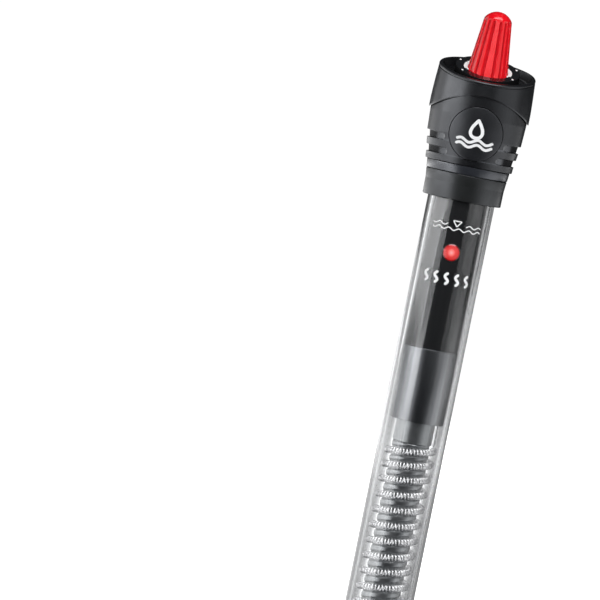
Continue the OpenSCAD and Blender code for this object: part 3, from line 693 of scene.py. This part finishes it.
def lower_shell():
    """Lower shell: slots with rounded ends in its sides, a round pocket in front, a pad behind."""
    front = np.concatenate([np.arange(-50, 50.01, 0.66), np.arange(52, 130, 2.0), np.arange(130, 230.01, 0.8), np.arange(232, 309, 2.0)])
    zs = np.unique(np.round(np.concatenate([np.arange(12.6, 14.4, 0.3), np.arange(14.4, 34.4, 0.19), np.arange(34.5, 37.6, 0.5), [37.6]]), 4))
    A, Z = np.meshgrid(np.radians(front), zs)  # angle from the front, towards +X
    cell = 0.2

    def xz():
        r = body_r(Z)
        return r * np.sin(A), r

    def snap_circle(A, Z, cz, rad, back):
        r = body_r(Z)
        x = r * np.sin(A)
        d = np.hypot(x, Z - cz)
        facing = (np.cos(A) < 0) if back else (np.cos(A) > 0)
        on = facing & (np.abs(d - rad) < cell * 0.62)
        k = np.where(on, rad / np.maximum(d, 1e-6), 1)
        x2, z2 = x * k, cz + (Z - cz) * k
        a2 = np.arcsin(np.clip(x2 / body_r(z2), -1, 1))
        a2 = np.where(np.cos(A) < 0, math.pi - a2, a2)
        A = np.where(on, a2, A)
        Z = np.where(on, z2, Z)
        inside = facing & (np.hypot(body_r(Z) * np.sin(A), Z - cz) < rad - 0.01)
        return A, Z, inside

    A, Z, pocket = snap_circle(A, Z, 24.2, 9.68, False)
    A, Z, pad = snap_circle(A, Z, 24.0, 6.4, True)
    R = body_r(Z).copy()
    cut = np.zeros_like(R)
    for zc, h, floor_r, half in ((21.2, 2.6, 15.75, 51.0), (16.2, 2.5, 15.1, 57.0)):
        rm = float(body_r(zc))
        q = h / 2
        end = math.radians(half) - q / rm
        side = np.arcsin(np.abs(np.sin(A)))  # 90 deg at the sides
        a = math.pi / 2 - side
        s = rm * (a - end)
        dz = Z - zc
        d = np.where(s < 0, np.abs(dz) - q, np.hypot(s, dz) - q)
        # put the nearest grid points on the slot's outline
        on = np.abs(d) < 0.11
        dz2 = np.where(s < 0, np.sign(dz) * q, dz * q / np.maximum(np.hypot(s, dz), 1e-6))
        s2 = np.where(s < 0, s, s * q / np.maximum(np.hypot(s, dz), 1e-6))
        Z = np.where(on, zc + dz2, Z)
        a2 = end + s2 / rm
        quad = np.where(np.sin(A) >= 0, 1, -1)
        base = np.where(np.cos(A) >= 0, math.pi / 2 - a2, math.pi / 2 + a2)
        A = np.where(on & (s >= 0), quad * base, A)
        inside = ~on & (d < 0)
        depth = (rm - floor_r) * np.sqrt(np.clip(1 - (np.maximum(s + 2.2, 0) / (q + 2.2)) ** 2, 0, 1))
        cut = np.where(inside, np.maximum(cut, depth), cut)
    R = body_r(Z)
    R = np.where(pocket, R - 0.85, R - cut)
    X, Y = R * np.sin(A), -R * np.cos(A)
    X = np.where(pad, body_r(Z) * np.sin(A), X)
    Y = np.where(pad, 18.4, Y)
    rows = list(np.stack([X, Y, Z], -1))
    t = np.radians(front)
    # rounded lower edge, then the hidden inside
    rows[0] = np.stack([15.45 * np.sin(t), -15.45 * np.cos(t), np.full_like(t, 12.6)], -1)
    rows.insert(1, np.stack([15.6 * np.sin(t), -15.6 * np.cos(t), np.full_like(t, 12.72)], -1))
    for r, z in [(15.3, 37.6), (15.3, 26.5), (13.6, 26.5), (13.6, 17.6), (9.0, 17.6), (9.0, 15.6), (11.96, 15.6), (11.96, 9.4), (12.95, 9.4), (12.95, 12.6)]:
        rows.append(np.stack([r * np.sin(t), -r * np.cos(t), np.full_like(t, z)], -1))
    return surface("head_lower_shell", rows, M["body"], wrap_u=True, sharp=34)


def badge():
    """Round disc flush with the front of the lower shell."""
    phi = np.arange(160) * TAU / 160
    rows = []
    for rho, drop in [(0.6, 0), (2.5, 0), (4.5, 0), (6.5, 0), (8.2, 0), (9.1, 0), (9.36, 0.02), (9.45, 0.08), (9.48, 0.2), (9.48, 0.78), (6.0, 0.78), (0.6, 0.78)]:
        x, z = rho * np.cos(phi), 24.2 + rho * np.sin(phi)
        rows.append(np.stack([x, -np.sqrt((body_r(z) - drop) ** 2 - x**2), z], -1))
    return surface("front_badge", rows, M["badge"], wrap_u=False, pole_a=(0, -float(body_r(24.2)), 24.2), pole_b=(0, -float(body_r(24.2)) + 0.78, 24.2), sharp=34)


# ------------------------------------------------------------------ printed marks
def strokes(name, paths, wrap, mat, lift=0.035):
    """Thin raised print: each path is (points, widths, closed) on an unrolled surface, wrap() lays it on the part."""
    verts, faces = [], []
    for pts, width, closed in paths:
        p = np.asarray(pts, float)
        w = np.full(len(p), width, float) if np.isscalar(width) else np.asarray(width, float)
        if closed:
            t = np.roll(p, -1, 0) - np.roll(p, 1, 0)
        else:
            t = np.gradient(p, axis=0)
            # round ends
            for at, sgn in ((0, -1), (-1, 1)):
                u = t[at] / np.linalg.norm(t[at])
                add = [p[at] + sgn * u * w[at] / 2 * math.sin(a) for a in np.radians([30, 60, 85])]
                wid = [w[at] * math.cos(a) for a in np.radians([30, 60, 85])]
                if at == 0:
                    p, w = np.vstack([add[::-1], p]), np.concatenate([wid[::-1], w])
                    t = np.vstack([[u] * 3, t])
                else:
                    p, w = np.vstack([p, add]), np.concatenate([w, wid])
                    t = np.vstack([t, [u] * 3])
        t = t / np.linalg.norm(t, axis=1)[:, None]
        nrm = np.stack([-t[:, 1], t[:, 0]], -1)
        loop = []
        for k, up in [(-1, 0), (-1, 1), (-0.5, 1), (0, 1), (0.5, 1), (1, 1), (1, 0), (0, 0)]:
            q = p + nrm * (w * k / 2)[:, None]
            loop.append([wrap(a, b, lift * up) for a, b in q])
        P = np.array(loop).transpose(1, 0, 2)
        base, (nu, nv) = len(verts), P.shape[:2]
        verts += P.reshape(-1, 3).tolist()
        faces += grid_faces(nu, nv, closed, True, base)
        if not closed:
            faces.append(tuple(range(base, base + nv)))
            faces.append(tuple(range(base + (nu - 1) * nv, base + nu * nv)))
    return make(name, verts, faces, mat, sharp=40)


def on_tube(s, z, t):
    return ((12 + t) * math.sin(s / 12), -(12 + t) * math.cos(s / 12), z)


def on_body(x, z, t):
    r = float(body_r(z)) + t
    return (x, -math.sqrt(r * r - x * x), z)


def badge_mark():
    """Plain water drop over two waves."""
    paths = []
    drop = []
    for a in np.linspace(0, TAU, 49)[:-1]:
        # round below, drawn to a point above
        y = math.cos(a)
        x = math.sin(a) * (math.sin(a / 2) ** 1.15)
        drop.append((2.85 * x, 26.0 + 3.15 * y))
    paths.append((drop, 1.15, True))
    for z, a0 in ((21.6, 0.62), (19.9, 0.62)):
        xs = np.linspace(-6.2, 6.2, 49)
        paths.append(([(x, z + a0 * math.sin(x * TAU / 6.2 + 0.4)) for x in xs], 0.98, False))
    return strokes("badge_mark", paths, on_body, M["white"])


def level_mark():
    """Thin water level sign on the glass: a small triangle standing on a fine wave."""
    paths = []
    for z, lo, hi in ((-10.2, -9.2, 9.2), (-8.65, -9.2, -3.4), (-8.65, 3.4, 9.2)):
        n = int((hi - lo) / 0.25)
        paths.append(([(s, z + 0.42 * math.sin(s * TAU / 3.68)) for s in np.linspace(lo, hi, n)], 0.40, False))
    tri = [(-1.55, -7.2), (1.55, -7.2), (0, -9.2)]
    line = []
    for i in range(3):
        a, b = np.array(tri[i]), np.array(tri[(i + 1) % 3])
        line += [tuple(a + (b - a) * k / 6) for k in np.linspace(0.35, 5.65, 7)]
    paths.append((line, 0.40, True))
    return strokes("level_mark", paths, on_tube, M["white"])


def heat_mark():
    """Bold heating sign on the glass: five rising waves."""
    paths = []
    for s0 in (-7.6, -3.8, 0.0, 3.8, 7.6):
        zs = np.linspace(-29.6, -26.0, 15)
        paths.append(([(s0 + 0.62 * math.sin((z + 29.6) * TAU / 3.5), z) for z in zs], 1.0, False))
    return strokes("heat_mark", paths, on_tube, M["white"])


def dial_numbers():
    """Raised plain numbers and ticks on the dish, one for each dot of the scale."""
    verts, faces = [], []

    def place(local, angle, radius):
        # local: x to the right, y outward from the knob, z up off the floor
        a = math.radians(angle)
        ux, uy = math.cos(a), math.sin(a)
        out = []
        for x, y, z in local:
            r = radius - y
            px, py = r * ux - x * uy, r * uy + x * ux
            out.append((px, py, float(dish_z(py)) + z))
        return out

    for text, k in (("18", -1), ("21", -2), ("24", -3), ("27", 3), ("30", 2), ("33", 1)):
        cu = bpy.data.curves.new("t", "FONT")
        cu.body, cu.size, cu.align_x, cu.align_y, cu.extrude = text, 3.4, "CENTER", "CENTER", 0.14
        cu.resolution_u = 3
        tmp = bpy.data.objects.new("t", cu)
        SCENE.collection.objects.link(tmp)
        bpy.context.view_layer.update()
        me = bpy.data.meshes.new_from_object(tmp.evaluated_get(bpy.context.evaluated_depsgraph_get()))
        base = len(verts)
        verts += place([(v.co.x, v.co.y, v.co.z + 0.12) for v in me.vertices], -90 + k * 56, 13.75)
        faces += [tuple(base + i for i in p.vertices) for p in me.polygons]
        bpy.data.objects.remove(tmp)
        bpy.data.meshes.remove(me)
        bpy.data.curves.remove(cu)
    for k in range(-13, 14):
        ang = k * 12.92
        if abs(ang) < 40 or min(abs(abs(ang) - d) for d in (56, 112, 168)) < 14:
            continue
        base = len(verts)
        box = [(x, y, z) for z in (-0.02, 0.24) for x, y in ((-0.22, -0.9), (0.22, -0.9), (0.22, 0.9), (-0.22, 0.9))]
        verts += place(box, -90 + ang, 13.9)
        faces += [tuple(base + i for i in f) for f in ((3, 2, 1, 0), (4, 5, 6, 7), (0, 1, 5, 4), (1, 2, 6, 5), (2, 3, 7, 6), (3, 0, 4, 7))]
    return make("dial_numbers", verts, faces, M["dish"], sharp=30)


# ------------------------------------------------------------------ heating element
def coil_z(n):
    return -89.6 - 5.6 * np.where(n < 3, n - (0.13 * n - 0.0217 * n * n), n - 0.195)


TURNS = 20
MINOR = 44


def coil():
    """Fine coil of resistance wire, itself wound round the former."""
    per = 11
    n = np.linspace(0, TURNS, TURNS * MINOR * per + 1)
    a = -TAU * n
    b = TAU * MINOR * n + 0.6 * np.sin(n * 5.1)
    z = coil_z(n)
    rho = 1.08 + 0.03 * np.sin(n * 17.0)
    rad = np.stack([np.cos(a), np.sin(a), 0 * a], -1)
    up = np.array([0, 0, 1.0])
    centre = np.stack([8.05 * np.cos(a), 8.05 * np.sin(a), z], -1)
    pts = centre + (rho * np.cos(b))[:, None] * rad + (rho * np.sin(b))[:, None] * up
    return tube_along("heating_coil_wire", pts, 0.255, M["wire"], sides=6, sharp=80)


def former():
    """Ribbed ceramic core: a rounded rib stands between neighbouring turns of the coil."""
    seg = 144
    th = np.arange(seg) * TAU / seg
    n0 = (-th / TAU) % 1.0
    k = np.arange(-1, TURNS + 2)
    turn_z = coil_z(n0[None, :] + k[:, None])
    z_lo, z_hi = -206.3, -88.06
    zs = np.linspace(z_lo, z_hi, 440)
    rows = []
    for z in zs:
        d = np.abs(z - turn_z)
        d = np.where(turn_z > -88.9, 9, d)
        d = np.where(turn_z < z_lo + 1.5, 9, d)
        d = d.min(0)
        rib = smooth((d - 1.45) / 0.75)
        r = 6.56 + 0.36 * rib
        r = r - 0.5 * smooth((z_lo + 0.5 - z) / 0.5) - 0.35 * smooth((z - z_hi + 0.5) / 0.5)
        rows.append(np.stack([r * np.cos(th), r * np.sin(th), np.full(seg, z)], -1))
    for z in (z_hi, z_lo):
        rows.append(np.stack([1.2 * np.cos(th), 1.2 * np.sin(th), np.full(seg, z)], -1))
    return surface("ribbed_former", rows, M["former"], wrap_u=True, sharp=50)


# ------------------------------------------------------------------ build and mount
def use(ob, body, slot, *nodes):
    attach(ob, body)
    if nodes:
        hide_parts(*nodes)
    return ob


use(knob(), "knob", "red_plastic", "knob")
use(cover(), "heater", "charcoal_plastic", "head_cover")
use(dial_collar(), "heater", "charcoal_plastic", "dial_ring")
use(dial_numbers(), "heater", "charcoal_plastic")
use(lower_shell(), "heater", "charcoal_plastic", "head_body")
use(badge(), "heater", "charcoal_plastic", "badge_disc")
use(badge_mark(), "heater", "white_print")
use(lathe("clamp_ring", [(13.0, 9.42), (14.55, 9.42, 0.22), (14.88, 12.52, 0.22), (13.0, 12.52)], M["band"]), "heater", "collar_plastic", "clamp_band")
use(lathe("tube_skirt", [(11.96, 0.02, 0.2), (14.1, 0.02, 0.28), (14.15, 5.7, 1.0), (14.5, 9.3, 0.25), (11.96, 9.3), (11.96, 7.6), (13.4, 7.6), (13.4, 6.1), (11.96, 6.1)], M["skirt"]), "heater", "collar_plastic", "seal_collar")
use(lathe("cord_bush", [(3.1, 11.2), (4.05, 11.2), (4.05, 18.43), (5.4, 18.43, 0.2), (5.4, 19.1), (5.2, 19.2), (5.2, 19.5), (5.4, 19.6), (5.4, 20.4, 0.45), (4.3, 20.4), (4.1, 20.1), (3.5, 20.1), (3.1, 20.4, 0.15)], M["gland"], seg=96, along=24.0), "heater", "black_plastic", "cord_gland")

use(lathe("glass_envelope", [(10.7, 13.0, 0.25), (11.5, 13.0, 0.3), (11.5, 0.35, 0.15), (12.0, -0.25, 0.2)] + [(12 * math.cos(a), -220 - 12 * math.sin(a)) for a in np.linspace(0, math.pi / 2 - 0.03, 24)] + [(10.7 * math.cos(a), -220 - 10.7 * math.sin(a)) for a in np.linspace(math.pi / 2 - 0.03, 0, 22)], M["glass"], seg=192, n=3, sharp=25), "heater", "tube_glass", "glass_tube")
use(level_mark(), "heater", "white_print")
use(heat_mark(), "heater", "white_print")

lens_prof = [(0.0, -10.5)] + [(5.5 * math.sin(a), -5.0 - 5.5 * math.cos(a)) for a in np.linspace(0.06, math.asin(3.1 / 5.5), 12)] + [(3.14, -9.2), (3.14, -7.9), (3.0, -7.65), (0.0, -7.65)]
use(lathe("lamp_window", lens_prof, M["lens"], seg=72, closed=False, along=-18.6, sharp=40), "heater", "lens_red", "lamp_lens")

use(lathe("heat_shield_sleeve", [(8.92, -80.1), (9.7, -80.1, 0.18), (9.7, -53.75, 0.2), (8.92, -53.75)], M["shield"]), "heater", "shield_metal", "heat_shield")
use(lathe("element_neck", [(1.2, -88.0), (7.0, -88.0, 0.2), (7.0, -63.6, 0.2), (1.2, -63.6)], M["neck"]), "heater", "ceramic_grey", "former_neck")
use(former(), "heater", "ceramic_grey", "ceramic_former")
use(coil(), "heater", "resistance_wire", "heating_coil")
use(lathe("tip_disc", [(1.2, -211), (10.45, -211, 0.3), (10.45, -208, 0.3), (1.2, -208)], M["ceramic"]), "heater", "ceramic_white", "end_disc")


def cushion():
    """Fibre pad packed in the round end of the tube, with an uneven, felted skin."""
    seg = 144
    th = np.arange(seg) * TAU / seg
    prof = [(2.5, -211.15), (6.0, -211.07), (9.6, -211.1), (10.15, -211.4)] + [(10.3, z) for z in np.linspace(-212, -219.5, 14)]
    prof += [(10.3 * math.cos(a), -220 - 10.3 * math.sin(a)) for a in np.linspace(0.03, 1.3, 22)]
    rows = []
    for i, (r, z) in enumerate(prof):
        w = 0.09 * np.sin(7 * th + 1.3 * i) * np.sin(0.9 * i + 3 * th) + 0.07 * np.sin(19 * th + 0.7 * i * i) + 0.05 * np.sin(31 * th - 2.1 * i)
        rr = r + (np.minimum(w, 0.08) - 0.06 if r > 3 else 0 * w)
        rows.append(np.stack([rr * np.cos(th), rr * np.sin(th), np.full(seg, z)], -1))
    rows.append(np.stack([2.5 * np.cos(th), 2.5 * np.sin(th), np.full(seg, -229.9)], -1))
    return surface("tip_cushion", rows, M["fibre"], wrap_u=True, sharp=60)


pad = use(cushion(), "heater", "fibre_white", "end_cushion")

CAD_LOOK = {
    "spindle": "brass", "spindle_clip": "steel", "spindle_bush": "brass", "dial_disc": "scale", "scale_dots": "white",
    "gland_nut": "dark_metal", "collar_o_ring": "rubber", "seal_plug": "rubber", "spindle_o_rings": "rubber",
    "core_leads": "leads", "crimp_terminals": "steel", "thermostat_sleeve": "sleeve", "neon_lamp": "lamp_glass",
    "lamp_resistor": "resistor", "base_plate": "board", "adjuster_nut": "brass", "set_blade": "spring_brass",
    "set_contact": "contact", "bimetal_strip": "bimetal", "moving_contact": "contact", "pivot_pins": "steel",
    "snap_magnet": "magnet", "terminal_block": "ceramic", "block_screws": "steel", "lower_spacer": "ceramic",
    "feed_lead": "wire", "return_lead": "wire",
}
for node, look_name in CAD_LOOK.items():
    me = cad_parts[node].data
    me.materials.clear()
    me.materials.append(M[look_name])

# the lamps light what is inside the tube as if the glass weren't there
envelope = bpy.data.objects["glass_envelope"]
envelope.visible_shadow = envelope.visible_diffuse = envelope.visible_glossy = False


# ------------------------------------------------------------------ studio
def emission(name, build):
    mt = bpy.data.materials.new(name)
    mt.use_nodes = True
    nt = mt.node_tree
    nt.nodes.clear()
    build(nt, nt.nodes.new("ShaderNodeOutputMaterial"))
    return mt


def backdrop():
    bm = bmesh.new()
    bmesh.ops.create_uvsphere(bm, u_segments=48, v_segments=24, radius=6.0)
    me = bpy.data.meshes.new("backdrop")
    bm.to_mesh(me)
    bm.free()
    ob = bpy.data.objects.new("backdrop", me)
    SCENE.collection.objects.link(ob)

    def build(nt, out):
        e = nt.nodes.new("ShaderNodeEmission")
        e.inputs["Color"].default_value = (1, 1, 1, 1)
        e.inputs["Strength"].default_value = 1.03
        nt.links.new(e.outputs[0], out.inputs[0])

    me.materials.append(emission("backdrop_white", build))
    ob.visible_diffuse = ob.visible_glossy = ob.visible_transmission = ob.visible_shadow = ob.visible_volume_scatter = False


def floor():
    n = 96
    rings = [0.05, 0.1, 0.2, 0.4, 0.8, 1.6, 3.0, 5.9]
    verts = [(0, 0, 0)] + [(r * math.cos(TAU * k / n), r * math.sin(TAU * k / n), 0) for r in rings for k in range(n)]
    faces = [(0, 1 + k, 1 + (k + 1) % n) for k in range(n)]
    for i in range(len(rings) - 1):
        a, b = 1 + i * n, 1 + (i + 1) * n
        faces += [(a + k, b + k, b + (k + 1) % n, a + (k + 1) % n) for k in range(n)]
    me = bpy.data.meshes.new("floor")
    me.from_pydata(verts, [], faces)
    ob = bpy.data.objects.new("floor", me)
    SCENE.collection.objects.link(ob)
    ob.location.z = -0.1221

    def build(nt, out):
        tc = nt.nodes.new("ShaderNodeTexCoord")
        ln = nt.nodes.new("ShaderNodeVectorMath")
        ln.operation = "LENGTH"
        nt.links.new(tc.outputs["Object"], ln.inputs[0])
        lit = remap(nt, ln.outputs["Value"], 0.62, 1.03, 0.12, 0.42)
        e = nt.nodes.new("ShaderNodeEmission")
        nt.links.new(lit, e.inputs["Strength"])
        d = nt.nodes.new("ShaderNodeBsdfDiffuse")
        d.inputs["Color"].default_value = (0.8, 0.8, 0.8, 1)
        a = nt.nodes.new("ShaderNodeAddShader")
        nt.links.new(e.outputs[0], a.inputs[0])
        nt.links.new(d.outputs[0], a.inputs[1])
        nt.links.new(a.outputs[0], out.inputs[0])

    me.materials.append(emission("floor_pale", build))
    ob.visible_diffuse = ob.visible_glossy = ob.visible_transmission = False


def area(name, loc, target, size, power):
    li = bpy.data.lights.new(name, "AREA")
    li.shape = "RECTANGLE"
    li.size, li.size_y = size
    li.energy = power
    ob = bpy.data.objects.new(name, li)
    SCENE.collection.objects.link(ob)
    ob.location = loc
    ob.rotation_euler = (Vector(target) - Vector(loc)).to_track_quat("-Z", "Y").to_euler()
    ob.visible_camera = False
    return ob


def strip(name, az0, az1, radiance, lo=-0.75, hi=0.85, dist=0.9):
    """Upright softbox between two directions round the object; 0 is the camera's side, positive to the right. Seen as gloss only."""
    mid, half = math.radians((az0 + az1) / 2), math.radians(abs(az1 - az0) / 2)
    width, height, z = 2 * dist * math.tan(half), hi - lo, (lo + hi) / 2
    loc = (dist * math.sin(mid), -dist * math.cos(mid), z)
    ob = area(name, loc, (0, 0, z), (width, height), radiance * math.pi * width * height)
    ob.visible_diffuse = False
    return ob


def fill(name, loc, target, size, share):
    """Soft light that only lifts the colours: share is what a white card facing it would send back."""
    d2 = (Vector(loc) - Vector(target)).length_squared
    ob = area(name, loc, target, (size, size), share * math.pi * math.pi * d2)
    ob.visible_glossy = False
    return ob


backdrop()
floor()

# beside the head
strip("soft_left", -100, -45, 5.6, lo=0.17, hi=0.30)
strip("soft_left_lower", -100, -50, 5.9, lo=0.075, hi=0.17)
strip("soft_left_back", -136, -100, 1.1, lo=0.075)
strip("soft_left_edge", -45, -28, 0.4, lo=0.17)
strip("soft_left_lower_edge", -49, -30, 0.25, lo=0.075, hi=0.17)
strip("soft_right", 28, 86, 0.95, lo=0.17, hi=0.30)
strip("soft_right_lower", 30, 80, 0.24, lo=0.075, hi=0.17)
strip("soft_left_top", -100, -40, 1.0, lo=0.30)
strip("soft_right_top", 28, 90, 1.2, lo=0.30)
# beside the thermostat
strip("soft_left_mid", -54, -32, 4.2, lo=0.02, hi=0.075)
strip("soft_left_mid_side", -112, -54, 0.2, lo=0.02, hi=0.075)
strip("soft_left_mid_back", -164, -112, 1.8, lo=0.02, hi=0.075)
strip("soft_right_mid_edge", 51, 62, 0.7, lo=0.02, hi=0.075)
strip("soft_right_mid", 62, 98, 1.9, lo=0.02, hi=0.075)
strip("soft_right_mid_back", 98, 140, 1.4, lo=0.02, hi=0.075)
# beside the shield
strip("soft_left_shield", -66, -40, 3.3, lo=-0.06, hi=0.02)
strip("soft_left_shield_side", -94, -66, 1.6, lo=-0.06, hi=0.02)
strip("soft_left_shield_back", -164, -94, 3.4, lo=-0.06, hi=0.02)
strip("soft_right_shield_edge", 50, 62, 0.8, lo=-0.06, hi=0.02)
strip("soft_right_shield", 62, 98, 1.8, lo=-0.06, hi=0.02)
strip("soft_right_shield_back", 98, 140, 1.7, lo=-0.06, hi=0.02)
# beside the element
strip("soft_left_low", -66, -34, 3.1, hi=-0.06)
strip("soft_left_low_side", -100, -66, 1.9, hi=-0.06)
strip("soft_left_low_back", -164, -100, 1.5, hi=-0.06)
strip("soft_right_low_edge", 36, 56, 0.9, hi=-0.06)
strip("soft_right_low", 56, 100, 1.7, hi=-0.06)
area("soft_knob", (0.0, -1.1, 0.55), (0, 0, 0.165), (0.30, 0.27), 2.0 * math.pi * 0.30 * 0.27).visible_diffuse = False
area("soft_rim", (0.0, -0.60, 1.30), (0, 0, 0.15), (1.1, 0.6), 8.0 * math.pi * 1.1 * 0.6).visible_diffuse = False
fill("fill_top", (0.0, 0.10, 1.1), (0, 0, 0.15), 0.7, 0.55)
fill("fill_front", (0.10, -1.6, 0.55), (0, 0, 0.05), 1.0, 1.04)
fill("fill_back", (0.6, 1.6, 0.6), (0, 0, 0.05), 1.0, 0.55)

world = bpy.data.worlds.new("world")
SCENE.world = world
world.use_nodes = True
bg = world.node_tree.nodes["Background"]
bg.inputs["Color"].default_value = (0.80, 0.88, 1.0, 1)
bg.inputs["Strength"].default_value = 0.035

SCENE.view_settings.view_transform = "Standard"
SCENE.view_settings.look = "None"
